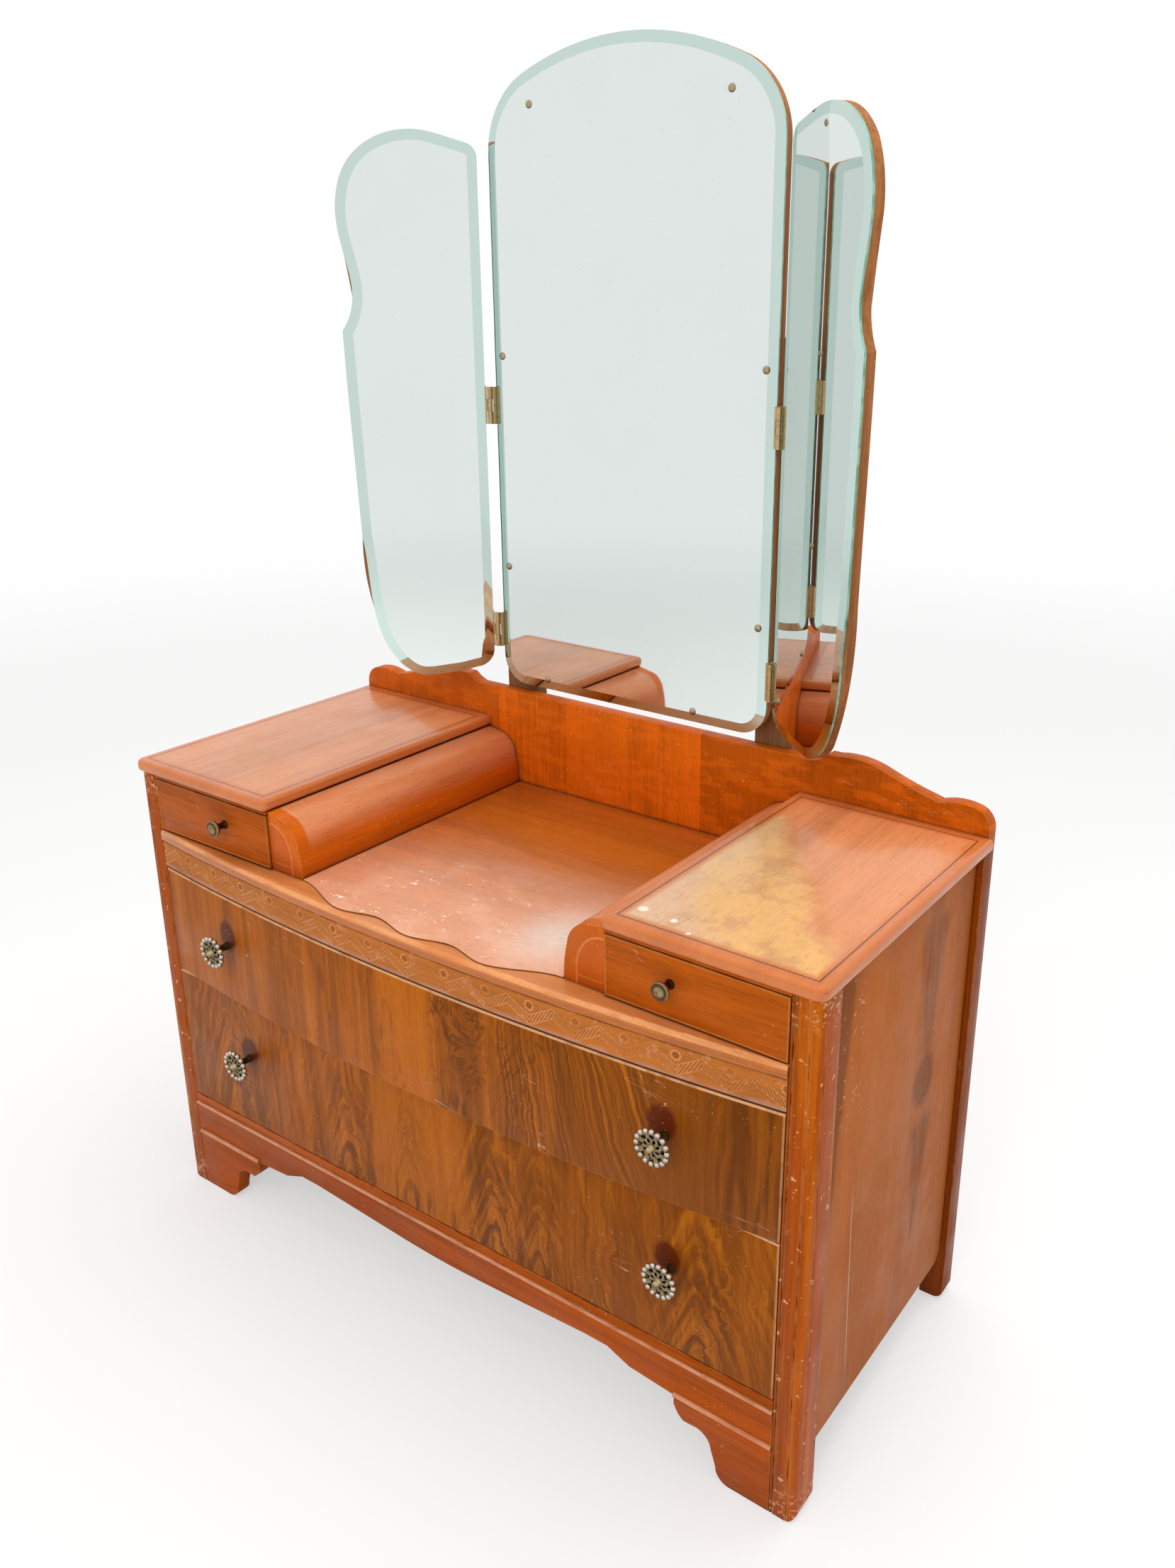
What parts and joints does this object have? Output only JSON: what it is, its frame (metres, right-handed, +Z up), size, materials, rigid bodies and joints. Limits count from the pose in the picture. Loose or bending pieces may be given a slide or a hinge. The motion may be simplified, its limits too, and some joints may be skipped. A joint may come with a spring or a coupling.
{
  "type": "dressing table with mirror",
  "caption": "Dressing table with a bow-fronted chest of long drawers, raised pedestals with small drawers beside a low deck, and a folding triple mirror with an arched middle glass.",
  "frame": {"origin": "on the floor, under the middle of the whole piece seen from above", "axes": "+X to the right seen from the front, -Y towards the user at the front, +Z up"},
  "size_m": [1.07, 0.5118, 1.5901],
  "materials": {
    "stained_walnut": "golden brown stain under worn varnish",
    "figured_veneer": "figured walnut veneer with dark streaks under worn varnish",
    "carved_frieze": "shallow carved band, stained and varnished",
    "plain_wood": "plain stained wood, matt",
    "drawer_wood": "bare softwood, matt",
    "plywood": "thin plywood, matt",
    "brass": "aged, dulled",
    "mirror_glass": "silvered glass with a bevelled edge"
  },
  "bodies": {
    "carcase": {"back_panel": "plywood", "batten_lower": "plain_wood", "batten_upper": "plain_wood", "bottom_board": "plain_wood", "bottom_rail": "stained_walnut", "bracket_foot_left": "stained_walnut", "bracket_foot_right": "stained_walnut", "deck_board": "stained_walnut", "deck_overlay": "stained_walnut", "dust_board": "plain_wood", "fascia_left": "stained_walnut", "fascia_right": "stained_walnut", "frieze_board": "carved_frieze", "front_post_left": "stained_walnut", "front_post_right": "stained_walnut", "gallery_board": "stained_walnut", "hinge_left_lower": "brass", "hinge_left_upper": "brass", "hinge_right_lower": "brass", "hinge_right_upper": "brass", "mirror_board": "plain_wood", "mirror_glass": "mirror_glass", "mirror_standard_left": "plain_wood", "mirror_standard_right": "plain_wood", "pedestal_top_left": "stained_walnut", "pedestal_top_right": "stained_walnut", "quadrant_left": "stained_walnut", "quadrant_right": "stained_walnut", "rear_post_left": "stained_walnut", "rear_post_right": "stained_walnut", "side_panel_left": "stained_walnut", "side_panel_right": "stained_walnut"},
    "small_drawer_left": {"small_drawer_left_bottom": "plywood", "small_drawer_left_frame": "drawer_wood", "small_drawer_left_front": "stained_walnut", "small_drawer_left_knob": "brass"},
    "small_drawer_right": {"small_drawer_right_bottom": "plywood", "small_drawer_right_frame": "drawer_wood", "small_drawer_right_front": "stained_walnut", "small_drawer_right_knob": "brass"},
    "upper_drawer": {"upper_drawer_bottom": "plywood", "upper_drawer_frame": "drawer_wood", "upper_drawer_front": "figured_veneer", "upper_drawer_knob_left": "brass", "upper_drawer_knob_right": "brass"},
    "lower_drawer": {"lower_drawer_bottom": "plywood", "lower_drawer_frame": "drawer_wood", "lower_drawer_front": "figured_veneer", "lower_drawer_knob_left": "brass", "lower_drawer_knob_right": "brass"},
    "wing_left": {"wing_left_board": "plain_wood", "wing_left_glass": "mirror_glass", "wing_left_leaf_lower": "brass", "wing_left_leaf_upper": "brass"},
    "wing_right": {"wing_right_board": "plain_wood", "wing_right_glass": "mirror_glass", "wing_right_leaf_lower": "brass", "wing_right_leaf_upper": "brass"}
  },
  "joints": [
    {"name": "small_drawer_left_slide", "type": "slide", "parent": "carcase", "child": "small_drawer_left", "axis": [0, -1, 0], "range_m": [0, 0.25]},
    {"name": "small_drawer_right_slide", "type": "slide", "parent": "carcase", "child": "small_drawer_right", "axis": [0, -1, 0], "range_m": [0, 0.25]},
    {"name": "upper_drawer_slide", "type": "slide", "parent": "carcase", "child": "upper_drawer", "axis": [0, -1, 0], "range_m": [0, 0.3]},
    {"name": "lower_drawer_slide", "type": "slide", "parent": "carcase", "child": "lower_drawer", "axis": [0, -1, 0], "range_m": [0, 0.3]},
    {"name": "wing_left_hinge", "type": "hinge", "parent": "carcase", "child": "wing_left", "pos_m": [-0.229, 0.19687, 0.989], "axis": [0, 0, 1], "range_deg": [-46.5, 113.5]},
    {"name": "wing_right_hinge", "type": "hinge", "parent": "carcase", "child": "wing_right", "pos_m": [0.229, 0.19687, 0.989], "axis": [0, 0, -1], "range_deg": [-34.3, 125.7]}
  ]
}
